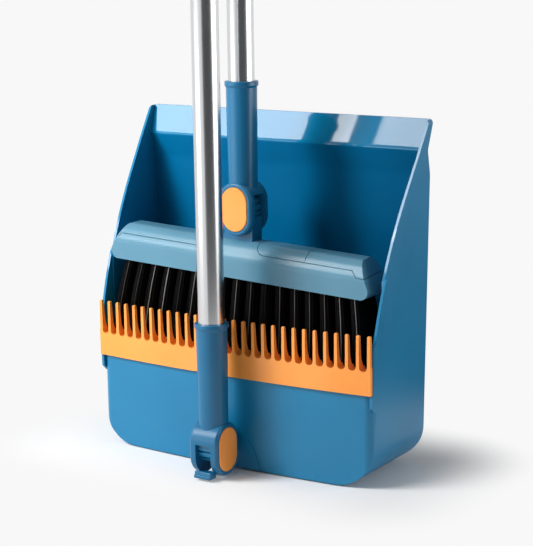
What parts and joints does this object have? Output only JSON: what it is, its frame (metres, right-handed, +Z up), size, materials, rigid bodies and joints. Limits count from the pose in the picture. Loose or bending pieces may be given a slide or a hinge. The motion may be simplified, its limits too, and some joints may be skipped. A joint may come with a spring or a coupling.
{
  "type": "dust pan and brush set",
  "caption": "Upright dust pan with a comb and folding handle, with a long-handled broom standing in it on its bristles.",
  "frame": {"origin": "middle of the pan's flat base, halfway between its front and back walls, on the floor", "axes": "+Z up along the handles, +Y towards the pan's high back wall, +X to the right seen from the front"},
  "size_m": [0.2808, 0.1417, 0.9842],
  "materials": {
    "blue_plastic": "semi-gloss moulded polypropylene",
    "pale_blue_plastic": "satin moulded polypropylene",
    "orange_plastic": "satin moulded polypropylene",
    "grey_steel_tube": "satin drawn tube",
    "plain_steel": "zinc-plated pins, screws and springs",
    "bristle_block": "matt black moulded",
    "black_bristle": "soft black filament"
  },
  "bodies": {
    "pan": {"pan_shell": "blue_plastic", "comb_strip": "orange_plastic", "pan_bracket": "blue_plastic", "pan_bracket_screws": "plain_steel"},
    "pan_handle": {"pan_knuckle": "blue_plastic", "pan_hinge_pin": "plain_steel", "pan_pin_cap": "blue_plastic", "pan_button_spring": "plain_steel", "pan_tube_lower": "grey_steel_tube", "pan_tube_coupling": "blue_plastic", "pan_tube_upper": "grey_steel_tube", "pan_grip": "blue_plastic", "pan_end_cap": "orange_plastic"},
    "pan_push_button": {"pan_button": "orange_plastic"},
    "broom_head": {"broom_head_shell": "pale_blue_plastic", "broom_side_covers": "pale_blue_plastic", "broom_bristle_block": "bristle_block", "broom_bristles": "black_bristle", "broom_bracket": "blue_plastic", "broom_bracket_screws": "plain_steel"},
    "broom_handle": {"broom_knuckle": "blue_plastic", "broom_hinge_pin": "plain_steel", "broom_pin_cap": "blue_plastic", "broom_button_spring": "plain_steel", "broom_tube_lower": "grey_steel_tube", "broom_tube_coupling": "blue_plastic", "broom_tube_upper": "grey_steel_tube", "broom_grip": "blue_plastic", "broom_end_cap": "orange_plastic"},
    "broom_push_button": {"broom_button": "orange_plastic"}
  },
  "joints": [
    {"name": "pan_handle_fold", "type": "hinge", "parent": "pan", "child": "pan_handle", "pos_m": [0.0035, -0.07175, 0.0236], "axis": [1, 0, 0], "range_deg": [0, 90]},
    {"name": "pan_button_push", "type": "slide", "parent": "pan_handle", "child": "pan_push_button", "axis": [-1, 0, 0], "range_m": [0, 0.002], "stiffness_N_per_m": 600, "springref_m": -0.003, "deforming": ["pan_button_spring"]},
    {"name": "broom_lift", "type": "slide", "parent": "pan", "child": "broom_head", "axis": [0, 0, 1], "range_m": [0, 0.3]},
    {"name": "broom_handle_swivel", "type": "hinge", "parent": "broom_head", "child": "broom_handle", "pos_m": [-0.0025, -0.01325, 0.21395], "axis": [0, 1, 0], "range_deg": [-70, 70]},
    {"name": "broom_button_push", "type": "slide", "parent": "broom_handle", "child": "broom_push_button", "axis": [0, 1, 0], "range_m": [0, 0.002], "stiffness_N_per_m": 600, "springref_m": -0.003, "deforming": ["broom_button_spring"]}
  ]
}
